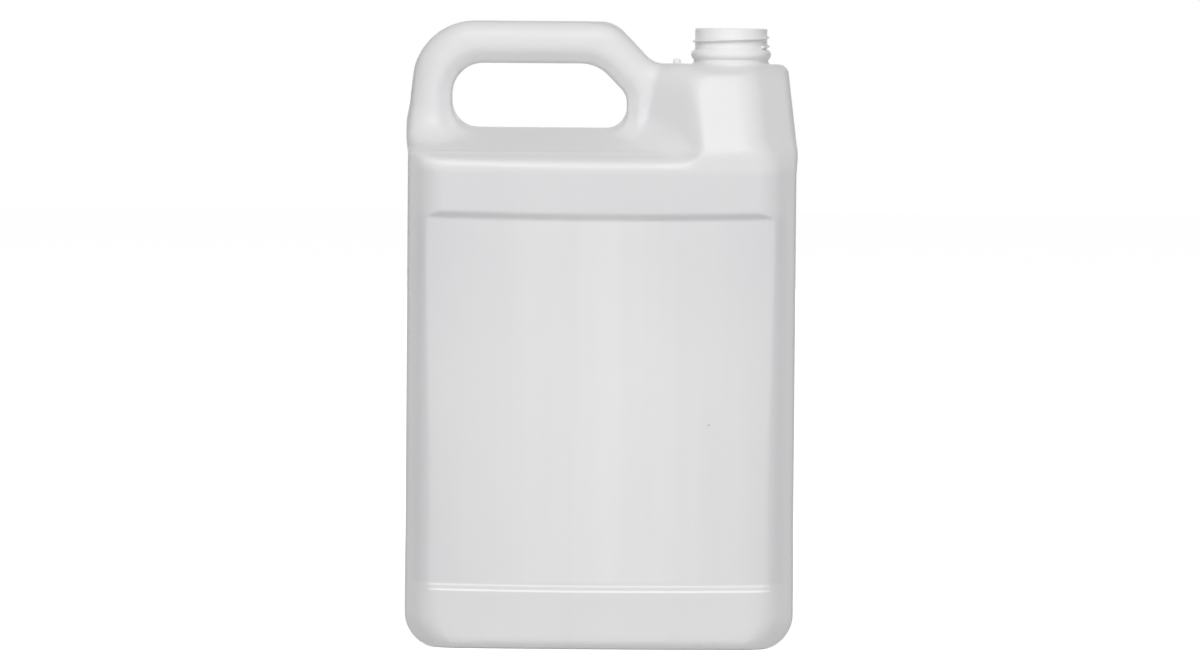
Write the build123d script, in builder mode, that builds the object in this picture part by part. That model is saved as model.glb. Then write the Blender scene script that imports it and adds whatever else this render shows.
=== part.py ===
from build123d import *
from math import sqrt
import os

# A one-gallon F-style jug, blow moulded in one piece from natural polyethylene.
# Origin at the middle of the foot, +Z up, +X towards the neck, front label at -Y.
# All sizes are in millimetres.

# Body
body_width = 187.4
body_depth = 96.0
corner_radius = 16.0          # upright corners, and the round between the walls and the foot
face_crown = 4.0              # how far the front and back bow out at the middle
wall = 0.9
thin_wall = 0.5               # least wall where a bevel inside faces a round outside

# Shoulder: a ledge behind the top edge of the label face, then a flatter roof up to a ridge
shoulder_z = 231.0
ledge_run = 12.0
ledge_rise = 5.6
roof_rise = 10.8              # from the ledge up to the ridge
ridge_radius = 10.0
ledge_radius = 15.0
shoulder_radius = 6.0

# Label panel, front and back: undercut at its top, two low steps at its bottom
panel_low = 27.6
panel_top_gap = 23.0          # from the panel's top edge up to the shoulder
panel_recess = 1.2
panel_top_slope = 4.0
panel_step = 1.1              # height of each low step
panel_step_gap = 1.3          # flat between the two steps

# Push-up under the foot
pushup_height = 3.0
pushup_margin = 19.0
pushup_taper = 40
pushup_radius = 10.0

# Hand opening and grip, drawn in the parting plane
opening_height = 30.4
grip_height = 20.2
handle_half = 13.5            # half depth of the grip and its legs
handle_edge_radius = 9.0
leg_width = 21.8              # from the opening out to the left leg's widest point
leg_bulge = 0.4               # how far that point stands out past the body's side
leg_foot_setback = 1.1        # left leg inside the body's side, low down
leg_lean = 7.9                # how far the leg comes in up to the top
leg_bulge_rise = 1.6          # widest point above the ridge
leg_break_radius = 25.0
grip_corner_radius = 28.0
grip_end_radius = 16.0
slope_foot_radius = 11.5
opening_left_radius = 12.7
opening_top_radius = 18.0
opening_right_radius = 9.8
opening_slope_run = 15.6      # slanted top right of the opening
opening_slope_drop = 16.0

# Neck tower
tower_height = 47.1           # from the shoulder up to the tower's top
tower_break = 5.6             # from the shoulder up to where its front starts to lean back
tower_top_half = 24.5
tower_side_setback = 5.4      # right side at the top, in from the body's side
tower_side_slope = 0.132
tower_edge_radius = 7.0
tower_left_radius = 8.0
tower_corner_radius = 15.0
tower_setback = 49.7          # left edge of its front, in from the body's right side
flare_length = 22.0           # from the tower's front edge back to the handle's web
flare_half = 9.0              # half depth of the flare where it leaves the web
slope_foot_gap = 19.4         # from the foot of the handle's slope to the tower's front edge
slope_run = 19.0              # run of the handle's slope
web_run = 28.8                # level distance from the opening's slanted side to the foot of the handle's slope

# Neck finish, 38 mm
neck_setback = 32.2           # axis, in from the body's right side
neck_height = 16.9            # rim above the tower's top
neck_radius = 17.3
neck_bore_radius = 15.8
bead_radius = 19.2
bead_rise = 4.2               # middle of the bead above the tower's top
bead_round = 2.5              # radius of the bead's rounded outside
bead_sides = 12
waist_radius = 17.8           # below the bead

# Lug on the tower top
lug_gap = 8.4                 # in front of the tower's front edge
lug_width = 3.6
lug_depth = 3.0
lug_height = 2.4
lug_round = 1.0

# Pinch-off seam under the foot
pinch_length = 120.0
pinch_width = 1.8
pinch_round = 0.85
pinch_height = 1.0

buried = 8.0                  # how far a cutting or joining shape runs past the face it meets

# Places that follow from the sizes above
half_width = body_width / 2
half_depth = body_depth / 2
crown_radius = (half_width**2 + face_crown**2) / (2 * face_crown)
crown_axis_y = crown_radius - half_depth
ledge_slope = ledge_rise / ledge_run
ledge_z = shoulder_z + ledge_rise
ridge_z = ledge_z + roof_rise
panel_high = shoulder_z - panel_top_gap
opening_top_z = ridge_z + opening_height
handle_top_z = opening_top_z + grip_height
tower_top_z = shoulder_z + tower_height
tower_break_z = shoulder_z + tower_break
tower_low_z = shoulder_z - buried
tower_left_x = half_width - tower_setback
neck_x = half_width - neck_setback
leg_out_x = -half_width - leg_bulge
opening_left_x = leg_out_x + leg_width
slope_foot_x = tower_left_x - slope_foot_gap
opening_slope_z = opening_top_z - opening_slope_drop
opening_lean = opening_slope_run / opening_slope_drop
opening_right_x = slope_foot_x + (tower_top_z - opening_slope_z) * opening_lean - web_run


def soften(edges, radius, inset):
    """Rounds edges outside. Inside it bevels them, and leaves the wall thick enough there."""
    if inset:
        inner = radius - inset
        chamfer(edges, inner - sqrt((radius - thin_wall) ** 2 - inner**2))
    else:
        fillet(edges, radius)


def plan(inset):
    """Plan outline of the body, drawn on XY."""
    side = half_width - inset
    face = half_depth - inset
    with BuildSketch() as outline:
        with BuildLine():
            ThreePointArc((-side, face_crown - face), (0, -face), (side, face_crown - face))
            Line((side, face_crown - face), (side, face - face_crown))
            ThreePointArc((side, face - face_crown), (0, face), (-side, face - face_crown))
            Line((-side, face - face_crown), (-side, face_crown - face))
        make_face()
        fillet(outline.vertices(), corner_radius - inset)
    return outline.sketch


def prism(inset, low, high):
    """Upright block with the body's plan outline."""
    with BuildPart() as block:
        with BuildSketch(Plane.XY.offset(low)):
            add(plan(inset))
        extrude(amount=high - low)
    return block.part


def roof_section(inset):
    """Cross-section of the body under the ledges and the ridge, drawn on YZ."""
    ledge_y = half_depth - ledge_run
    with BuildSketch() as section:
        with BuildLine():
            Polyline((-half_depth - buried, -buried), (-half_depth - buried, shoulder_z - buried * ledge_slope),
                     (-ledge_y, ledge_z), (0, ridge_z), (ledge_y, ledge_z),
                     (half_depth + buried, shoulder_z - buried * ledge_slope), (half_depth + buried, -buried),
                     close=True)
        make_face()
        fillet(corner_at(section, 0, ridge_z), ridge_radius)
        fillet(corner_at(section, -ledge_y, ledge_z), ledge_radius)
        fillet(corner_at(section, ledge_y, ledge_z), ledge_radius)
        if inset:
            offset(amount=-inset)
    return section.sketch


def corner_at(sketch, x, y):
    """The corner of a sketch that is nearest to a point."""
    return sketch.vertices().sort_by_distance(Vector(x, y))[0]


def panel_cutter(inset):
    """Ring that sinks the front label panel below the crowned face by one depth all along."""
    face = half_depth - inset
    floor = face - panel_recess
    out = half_depth + buried
    middle = (face + floor) / 2
    low = panel_low - inset
    high = panel_high + inset
    with BuildPart() as cutter:
        with BuildSketch(Plane.YZ):
            with BuildLine():
                Polyline((-out, low), (-face, low), (-middle, low + panel_step),
                         (-middle, low + panel_step + panel_step_gap),
                         (-floor, low + 2 * panel_step + panel_step_gap), (-floor, high - panel_top_slope),
                         (-face, high), (-out, high), close=True)
            make_face()
        revolve(axis=Axis((0, crown_axis_y, 0), (0, 0, 1)))
    return cutter.part


def body_form(inset):
    """Body with its roof under the handle, its label panels and its push-up."""
    with BuildPart() as body:
        add(prism(inset, inset, ridge_z + buried))
        with BuildSketch(Plane.YZ):
            add(roof_section(inset))
        extrude(amount=body_width, both=True, mode=Mode.INTERSECT)
        foot = body.faces().sort_by(Axis.Z)[0]
        fillet(foot.edges(), corner_radius - inset)
        rim = body.edges().filter_by(lambda e: e.center().Z > shoulder_z - inset and not across_roof(e))
        soften(rim, shoulder_radius, inset)
        with BuildSketch(Plane.XY.offset(tower_break_z - tower_edge_radius / 2)):
            with Locations((tower_left_x + tower_corner_radius, 0)):
                Rectangle(body_width, 2 * body_depth, align=(Align.MIN, Align.CENTER))
        extrude(amount=body_depth, mode=Mode.SUBTRACT)
        with BuildSketch(Plane.XY) as pushup:
            add(plan(0))
            offset(amount=inset - pushup_margin, mode=Mode.REPLACE)
            fillet(pushup.vertices(), pushup_radius)
        extrude(amount=pushup_height + inset, taper=pushup_taper, mode=Mode.SUBTRACT)
        cutter = panel_cutter(inset)
        add(cutter, mode=Mode.SUBTRACT)
        add(mirror(cutter, about=Plane.XZ, mode=Mode.PRIVATE), mode=Mode.SUBTRACT)
    return body.part


def across_roof(edge):
    """Whether an edge is one of the straight ones that cross the roof from side to side."""
    return edge.geom_type == GeomType.LINE and abs((edge % 0.5).X) > 0.9


def grip_outline(inset):
    """Outline of the handle and the web below it, with the hand opening, drawn on XZ."""
    leg_foot_x = leg_foot_setback - half_width
    leg_break_z = ridge_z + leg_bulge_rise
    leg_top_x = leg_out_x + leg_lean
    grip_end_x = slope_foot_x - slope_run
    root_x = tower_left_x + buried
    with BuildSketch() as grip:
        with BuildLine():
            Polyline((leg_foot_x, tower_low_z), (leg_out_x, leg_break_z), (leg_top_x, handle_top_z),
                     (grip_end_x, handle_top_z), (slope_foot_x, tower_top_z),
                     (root_x, tower_top_z), (root_x, tower_low_z), close=True)
        make_face()
        for x, z, radius in ((leg_out_x, leg_break_z, leg_break_radius),
                             (leg_top_x, handle_top_z, grip_corner_radius),
                             (grip_end_x, handle_top_z, grip_end_radius),
                             (slope_foot_x, tower_top_z, slope_foot_radius)):
            fillet(corner_at(grip, x, z), radius)
        if inset:
            offset(amount=-inset)
        add(hand_opening(inset), mode=Mode.SUBTRACT)
    return grip.sketch_local


def hand_opening(inset):
    """Outline of the hand opening, drawn on XZ."""
    slope_x = opening_right_x - opening_slope_run
    with BuildSketch() as hole:
        with BuildLine():
            Polyline((opening_left_x, ridge_z), (opening_left_x, opening_top_z), (slope_x, opening_top_z),
                     (opening_right_x, opening_slope_z), (opening_right_x, ridge_z), close=True)
        make_face()
        for x, z, radius in ((opening_left_x, ridge_z, opening_left_radius),
                             (opening_left_x, opening_top_z, opening_left_radius),
                             (slope_x, opening_top_z, opening_top_radius),
                             (opening_right_x, opening_slope_z, opening_right_radius),
                             (opening_right_x, ridge_z, opening_right_radius)):
            fillet(corner_at(hole, x, z), radius)
        if inset:
            offset(amount=inset)
    return hole.sketch_local


def handle_form(inset):
    """Handle and its web, rounded front and back, running down into the shoulder."""
    with BuildPart() as handle:
        with BuildSketch(Plane.XZ):
            add(grip_outline(inset))
        extrude(amount=handle_half - inset, both=True)
        sides = handle.faces().group_by(Axis.Y)
        soften(sides[0].edges() + sides[-1].edges(), handle_edge_radius, inset)
    return handle.part


def tower_half(z):
    """Half the tower's depth at a height: its front and back lean in."""
    return tower_top_half + (tower_top_z - z) * (half_depth - tower_top_half) / (tower_top_z - tower_break_z)


def flare_section(inset, z):
    """Plan section of the flare that runs from the handle out to the tower's front and back."""
    face = tower_half(z) - inset
    web_x = tower_left_x - flare_length
    with BuildSketch() as section:
        with BuildLine():
            Polyline((web_x, -flare_half), (tower_left_x, -face), (tower_left_x, face), (web_x, flare_half),
                     close=True)
        make_face()
    return section.sketch_local


def tower_form(inset):
    """Neck tower: it leans back from the front and the right side up to the neck."""
    foot = tower_half(tower_low_z) - inset
    top = tower_half(tower_top_z) - inset
    side = half_width - tower_side_setback - inset
    side_foot = side + (tower_top_z - tower_low_z) * tower_side_slope
    with BuildPart() as tower:
        with BuildSketch(Plane.YZ):
            with BuildLine():
                Polyline((-foot, tower_low_z), (-top, tower_top_z), (top, tower_top_z), (foot, tower_low_z),
                         close=True)
            make_face()
        extrude(amount=body_width)
        with BuildSketch(Plane.XZ):
            with BuildLine():
                Polyline((tower_left_x, tower_low_z), (tower_left_x, tower_top_z), (side, tower_top_z),
                         (side_foot, tower_low_z), close=True)
            make_face()
        extrude(amount=body_depth, both=True, mode=Mode.INTERSECT)
        with BuildPart(mode=Mode.PRIVATE) as flare:
            for z in (tower_low_z, tower_top_z):
                with BuildSketch(Plane.XY.offset(z)):
                    add(flare_section(inset, z))
            loft(ruled=True)
        add(flare.part)
        corners = tower.edges().filter_by(lambda e: abs((e @ 0).Z - (e @ 1).Z) > buried).sort_by(Axis.X)
        fillet(corners[-2:], tower_corner_radius - inset)
        soften(corners[2:4], tower_left_radius, inset)
        add(prism(inset, tower_low_z, tower_top_z - inset), mode=Mode.INTERSECT)
        rim = tower.faces().sort_by(Axis.Z)[-1]
        soften(rim.edges(), tower_edge_radius, inset)
    return tower.part


def neck_form():
    """Outside of the neck: the waist under the bead, the bead and the plain barrel."""
    bead_z = tower_top_z + bead_rise
    root_z = tower_top_z - buried
    with BuildPart() as neck:
        with BuildSketch(Plane.XZ):
            with BuildLine():
                Polyline((neck_x, root_z), (neck_x, tower_top_z + neck_height),
                         (neck_x + neck_radius, tower_top_z + neck_height), (neck_x + neck_radius, bead_z),
                         (neck_x + waist_radius, bead_z), (neck_x + waist_radius, root_z), close=True)
            make_face()
            with Locations((neck_x + bead_radius - bead_round, bead_z)):
                RegularPolygon(bead_round, bead_sides, major_radius=False)
        revolve(axis=Axis((neck_x, 0, 0), (0, 0, 1)))
    return neck.part


def outer_form(inset):
    """The whole jug below the neck, drawn in by one inset on every side."""
    with BuildPart() as form:
        add(body_form(inset))
        add(handle_form(inset))
        add(tower_form(inset))
    return form.part


def cavity():
    """The space inside: the outer form drawn in by the wall, and the bore of the neck."""
    with BuildPart() as space:
        add(outer_form(wall))
        with BuildSketch(Plane.XY.offset(tower_top_z - buried)):
            with Locations((neck_x, 0)):
                Circle(neck_bore_radius)
        extrude(amount=neck_height + 2 * buried)
    return space.part


with BuildPart() as jug:
    add(outer_form(0))
    add(neck_form())
    with BuildSketch(Plane.XY.offset(tower_top_z - wall)):
        with Locations((tower_left_x - lug_gap, 0)):
            RectangleRounded(lug_width, lug_depth, lug_round)
    extrude(amount=lug_height + wall)
    with BuildSketch(Plane.XY.offset(pushup_height - pinch_height)):
        RectangleRounded(pinch_length, pinch_width, pinch_round)
    extrude(amount=pinch_height + wall / 2)
    space = cavity()
    add(space, mode=Mode.SUBTRACT)

os.makedirs("parts", exist_ok=True)
jug.part.label = "jug"
export_step(jug.part, "parts/jug.step")
print("jug", jug.part.is_valid, round(jug.part.volume), jug.part.bounding_box())
print("holds", round(space.volume / 1e6, 3), "litres to the brim")
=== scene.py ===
"""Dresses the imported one-gallon F-style jug: one blow-moulded skin of natural polyethylene.

The skin is drawn as a distance field in millimetres, so that its handle, shoulder and neck
tower run into each other as softly as the moulded ones do, and is then meshed in metres.
A Span says where a change starts and where it is complete, and may run either way.
A Corner is a place in a plane: x and z, or radius and height.
"""

from __future__ import annotations

import logging
import math
from dataclasses import astuple, dataclass, field
from enum import Enum
from typing import Callable

import bmesh
import bpy
import numpy as np
from mathutils import Matrix, Vector

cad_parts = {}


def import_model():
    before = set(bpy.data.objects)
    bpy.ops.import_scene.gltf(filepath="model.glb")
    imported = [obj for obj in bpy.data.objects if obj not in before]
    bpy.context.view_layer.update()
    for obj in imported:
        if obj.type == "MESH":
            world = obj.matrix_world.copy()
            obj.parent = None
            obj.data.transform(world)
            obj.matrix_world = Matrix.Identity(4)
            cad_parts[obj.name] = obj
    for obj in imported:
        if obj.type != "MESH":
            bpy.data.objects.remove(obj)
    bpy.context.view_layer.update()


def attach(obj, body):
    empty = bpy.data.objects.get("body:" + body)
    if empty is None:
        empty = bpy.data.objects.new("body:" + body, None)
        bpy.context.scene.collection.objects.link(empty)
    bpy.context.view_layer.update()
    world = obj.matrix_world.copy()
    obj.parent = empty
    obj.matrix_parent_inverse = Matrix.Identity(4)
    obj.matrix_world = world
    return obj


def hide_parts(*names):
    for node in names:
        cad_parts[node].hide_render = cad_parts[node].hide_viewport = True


log = logging.getLogger("jug")

MM = 0.001
Array = np.ndarray
Distance = Callable[[Array, Array, Array], Array]
Span = tuple[float, float]
Corner = tuple[float, float]
Point = tuple[float, float, float]
Colour = tuple[float, float, float, float]
WHITE: Colour = (1.0, 1.0, 1.0, 1.0)


class Hand(Enum):
    """Which way a thread climbs, as seen from the front."""

    RIGHT = 1
    LEFT = -1


class Merge(Enum):
    """How one solid is combined with another."""

    JOIN = "UNION"
    CUT = "DIFFERENCE"


def round_cut(a: Array, b: Array, radius: float | Array, turn: float | Array = 0.0) -> Array:
    """Common part of two fields, with its edge rounded to a true arc.

    Args:
        a: Distance to the first form, negative inside.
        b: Distance to the second form.
        radius: Radius of the rounded edge.
        turn: Cosine of the angle between the directions that the two forms face.

    Returns:
        Distance to the common part.
    """
    u, v = a + radius, b + radius
    beside_a, beside_b = u - turn * v, v - turn * u
    arc = np.sqrt(np.maximum(u * beside_a + v * beside_b, 0.0) / (1.0 - turn * turn)) - radius
    return np.where((beside_a > 0) & (beside_b > 0), arc, np.maximum(a, b))


def round_join(a: Array, b: Array, radius: float | Array, turn: float | Array = 0.0) -> Array:
    """Two fields made one, with a hollow fillet where they meet.

    Args:
        a: Distance to the first form, negative inside.
        b: Distance to the second form.
        radius: Radius of the fillet.
        turn: Cosine of the angle between the directions that the two forms face.

    Returns:
        Distance to the joined form.
    """
    return -round_cut(-a, -b, radius, turn)


def soft_max(a: Array, b: Array | float, blend: float) -> Array:
    """The larger of two fields, with a soft change between them.

    Args:
        a: First field.
        b: Second field.
        blend: How far the change spreads.

    Returns:
        The blended field.
    """
    return 0.5 * (a + b + np.sqrt((a - b) ** 2 + blend**2))


def step(span: Span, value: Array) -> Array:
    """Rises smoothly from 0 at the span's start to 1 at its end.

    Args:
        span: Where the rise starts and ends.
        value: What is measured.

    Returns:
        The height of the rise, from 0 to 1.
    """
    low, high = span
    t = np.clip((value - low) / (high - low), 0.0, 1.0)
    return t * t * (3.0 - 2.0 * t)


def beyond(x: Array, z: Array, start: Corner, end: Corner) -> Array:
    """Distance to the left of a straight line.

    Args:
        x: First coordinate of the points.
        z: Second coordinate of the points.
        start: The place where the line starts.
        end: The place where the line ends.

    Returns:
        The distance, positive on the left when looking from start to end.
    """
    dx, dz = end[0] - start[0], end[1] - start[1]
    return ((z - start[1]) * dx - (x - start[0]) * dz) / math.hypot(dx, dz)


def upward(start: Corner, end: Corner) -> float:
    """How far the left side of a straight line faces up, as a cosine."""
    return (end[0] - start[0]) / math.hypot(end[0] - start[0], end[1] - start[1])


@dataclass
class Link:
    """A socket of a node tree, with the arithmetic that shaders need."""

    tree: bpy.types.NodeTree
    socket: bpy.types.NodeSocket

    def _maths(self, operation: str, *values: Link | float) -> Link:
        """Adds a Math node."""
        return node(self.tree, "ShaderNodeMath", {"operation": operation}, dict(enumerate((self, *values))))

    def __add__(self, other: Link | float) -> Link:
        """Sum."""
        return self._maths("ADD", other)

    def __radd__(self, other: float) -> Link:
        """Sum."""
        return self._maths("ADD", other)

    def __sub__(self, other: Link | float) -> Link:
        """Difference."""
        return self._maths("SUBTRACT", other)

    def __rsub__(self, other: float) -> Link:
        """Reflected difference."""
        return node(self.tree, "ShaderNodeMath", {"operation": "SUBTRACT"}, {0: other, 1: self})

    def __mul__(self, other: Link | float) -> Link:
        """Product."""
        return self._maths("MULTIPLY", other)

    def __rmul__(self, other: float) -> Link:
        """Product."""
        return self._maths("MULTIPLY", other)

    def __neg__(self) -> Link:
        """Negative."""
        return self._maths("MULTIPLY", -1.0)

    def larger(self, other: Link | float) -> Link:
        """The larger of the two."""
        return self._maths("MAXIMUM", other)

    def power(self, exponent: float) -> Link:
        """Power."""
        return self._maths("POWER", exponent)

    def size(self) -> Link:
        """Size without its sign."""
        return self._maths("ABSOLUTE")

    def rise(self, span: Span) -> Link:
        """Rises smoothly from 0 at the span's start to 1 at its end.

        Args:
            span: Where the rise starts and ends.

        Returns:
            The height of the rise.
        """
        low, high = span
        if low > high:
            return 1.0 - self.rise((high, low))
        return node(self.tree, "ShaderNodeMapRange", {"interpolation_type": "SMOOTHSTEP"},
                    {"Value": self, "From Min": low, "From Max": high})

    def line(self, middle: float, half: float) -> Link:
        """A soft line of 1 around a value."""
        return (self - middle).size().rise((half, 0.0))


def node(tree: bpy.types.NodeTree, kind: str, settings: dict[str, object], values: dict[int | str, object],
         output: int | str = 0) -> Link:
    """Adds a node, sets it up and fills or links its sockets.

    Args:
        tree: The tree that the node joins.
        kind: The node's type.
        settings: Attributes of the node, set first.
        values: Values or links by socket name or number.
        output: Which output is given back.

    Returns:
        The output as a link.
    """
    made = tree.nodes.new(kind)
    for name, value in settings.items():
        setattr(made, name, value)
    for name, value in values.items():
        if isinstance(value, Link):
            tree.links.new(value.socket, made.inputs[name])
        else:
            made.inputs[name].default_value = value
    return Link(tree, made.outputs[output])


def mesh_from(name: str, vertices: Array, faces: list) -> bpy.types.Mesh:
    """Makes a mesh from vertices in millimetres.

    Args:
        name: Name of the mesh.
        vertices: Its vertices, one in each row.
        faces: Its faces, as the numbers of their corners.

    Returns:
        The mesh, in metres.
    """
    mesh = bpy.data.meshes.new(name)
    mesh.from_pydata((vertices * MM).tolist(), [], faces)
    mesh.update()
    return mesh


def place(name: str, mesh: bpy.types.Mesh) -> bpy.types.Object:
    """Puts a mesh in the scene as an object at the origin.

    Args:
        name: Name of the object.
        mesh: The mesh, in metres.

    Returns:
        The object.
    """
    thing = bpy.data.objects.new(name, mesh)
    bpy.context.scene.collection.objects.link(thing)
    return thing


def lathe(name: str, profile: list[Corner], axis_x: float, around: int) -> bpy.types.Mesh:
    """Turns a profile about an upright axis and closes it with two caps.

    Args:
        name: Name of the mesh.
        profile: Radius and height of each corner, from the bottom up.
        axis_x: Where the axis stands.
        around: How many steps the turn has.

    Returns:
        The mesh.
    """
    angles = np.linspace(0, 2 * math.pi, around, endpoint=False)
    rings = []
    for radius, z in profile:
        x, y = axis_x + radius * np.cos(angles), radius * np.sin(angles)
        rings.append(np.stack([x, y, np.full(around, z)], axis=1))
    faces = []
    for low in range(0, (len(profile) - 1) * around, around):
        high = low + around
        for a in range(around):
            b = (a + 1) % around
            faces.append((low + a, low + b, high + b, high + a))
    top = (len(profile) - 1) * around
    caps = [list(range(around))[::-1], [top + a for a in range(around)]]
    return mesh_from(name, np.concatenate(rings), faces + caps)


def grown(name: str, tree: bpy.types.NodeTree, sizes: dict[str, float]) -> bpy.types.Mesh:
    """Runs a Geometry Nodes tree and gives its result as a plain mesh.

    Args:
        name: Name of the mesh.
        tree: The tree.
        sizes: Its inputs by name.

    Returns:
        The mesh.
    """
    holder = place(name, bpy.data.meshes.new(name))
    modifier = holder.modifiers.new(name, "NODES")
    modifier.node_group = tree
    for item in tree.interface.items_tree:
        if item.in_out == "INPUT":
            modifier[item.identifier] = sizes[item.name]
    graph = bpy.context.evaluated_depsgraph_get()
    mesh = bpy.data.meshes.new_from_object(holder.evaluated_get(graph))
    bpy.data.objects.remove(holder)
    return mesh


def merged(base: bpy.types.Object, other: bpy.types.Object, way: Merge) -> bpy.types.Object:
    """Joins or cuts one object with another and drops the second.

    Args:
        base: The object that is kept.
        other: The object that it is joined with or cut by.
        way: Whether the second is joined on or cut away.

    Returns:
        The object, with its new mesh.
    """
    modifier = base.modifiers.new("join", "BOOLEAN")
    modifier.operation, modifier.solver, modifier.object = way.value, "MANIFOLD", other
    graph = bpy.context.evaluated_depsgraph_get()
    mesh = bpy.data.meshes.new_from_object(base.evaluated_get(graph))
    base.modifiers.clear()
    base.data = mesh
    bpy.data.objects.remove(other)
    return base


@dataclass(frozen=True)
class Bevel:
    """A softly bevelled edge: how much it takes off each face and how round its two sides are."""

    run: float | Array
    depth: float | Array
    front_radius: float | Array
    side_radius: float | Array

    def towards(self, other: Bevel, share: Array) -> Bevel:
        """Goes from this bevel to another by a share that differs from place to place."""
        pairs = zip(astuple(self), astuple(other))
        return Bevel(*(low + (high - low) * share for low, high in pairs))

    def cut(self, front: Array, side: Array) -> Array:
        """Common part of two faces with the bevel between them.

        Args:
            front: Distance to the first face.
            side: Distance to the second face.

        Returns:
            The distance.
        """
        long = np.hypot(self.run, self.depth)
        bevel = (side * self.depth + front * self.run + self.run * self.depth) / long
        softer = round_cut(front, bevel, self.front_radius, self.run / long)
        return round_cut(softer, side, self.side_radius, self.depth / long)


@dataclass
class Tower:
    """The neck tower: it leans back from the front and the right side up to the neck."""

    top_z: float = 278.1
    break_z: float = 236.8
    front_break_z: float = 233.6
    break_blend: float = 1.2
    top_half: float = 24.6
    half_at_break: float = 47.6
    brow_half: float = 17.0
    brow_slope: float = 0.47
    brow_blend: float = 2.0
    brow_start: Span = (-3.0, 3.0)
    side_slope: float = 0.104
    left_x: float = 42.6
    left_low_x: float = 48.0
    left_spread: float = 6.0
    left_spread_z: Span = (239.5, 229.5)
    left_upright: float = 0.96  # sine of the left plane's angle from level
    web_x: float = 18.5
    web_z: float = 256.0
    web_slope: float = 0.4
    web_blend: float = 3.0
    web_half: float = 9.0
    web_end_x: float = 60.0
    least_spread: float = 1.0
    edge_radius: float = 5.0
    edge_x: Span = (20.0, 40.0)
    leg_fillet: float = 9.0

    @property
    def lean(self) -> float:
        """How far the front comes forward for each millimetre down."""
        return (self.half_at_break - self.top_half) / (self.top_z - self.front_break_z)

    def half(self, z: Array) -> Array:
        """Half the tower's depth at a height."""
        return self.top_half + (self.top_z - z) * self.lean

    def front(self, y: Array, z: Array) -> Array:
        """Distance to the front and back planes."""
        return (np.abs(y) - self.half(z)) / math.hypot(1, self.lean)

    def side_lean(self, z: Array) -> Array:
        """How far the right side has come in at a height."""
        return self.side_slope * np.maximum(z - self.break_z, 0.0)

    def level(self, y: Array, z: Array) -> Array:
        """Distance to the top, which falls away a little towards the front and the back."""
        past = soft_max(np.abs(y) - self.brow_half, 0.0, self.brow_blend)
        steep = np.sqrt(1 + (self.brow_slope * step(self.brow_start, past)) ** 2)
        return (z - self.top_z + self.brow_slope * past) / steep

    def web(self, x: Array, y: Array) -> Array:
        """Distance to the upright web between the handle and the tower."""
        return np.maximum(np.abs(y) - self.web_half, x - self.web_end_x)

    def web_at(self, z: Array) -> Array:
        """Where the left plane leaves the web: further left towards its foot."""
        return self.web_x - self.web_slope * soft_max(self.web_z - z, 0.0, self.web_blend)

    def spread(self, z: Array) -> tuple[Array, Array]:
        """How far the left plane runs across and out, from the web to the front.

        Args:
            z: Upwards.

        Returns:
            The two runs.
        """
        low = self.left_low_x - self.left_x
        front = self.left_x + low * (self.top_z - z) / (self.top_z - self.break_z)
        front = front - self.left_spread * step(self.left_spread_z, z)
        return front - self.web_at(z), np.maximum(self.half(z) - self.web_half, self.least_spread)

    def left(self, x: Array, y: Array, z: Array) -> Array:
        """Distance to the plane that faces the handle's right leg, a little upwards as well."""
        dx, dy = self.spread(z)
        across = (np.abs(y) - self.web_half) * dx - (x - self.web_at(z)) * dy
        return self.left_upright * across / np.hypot(dx, dy)

    def flare(self, z: Array) -> Array:
        """How far that plane faces front, as a cosine."""
        dx, dy = self.spread(z)
        return dx / np.hypot(dx, dy)


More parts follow.
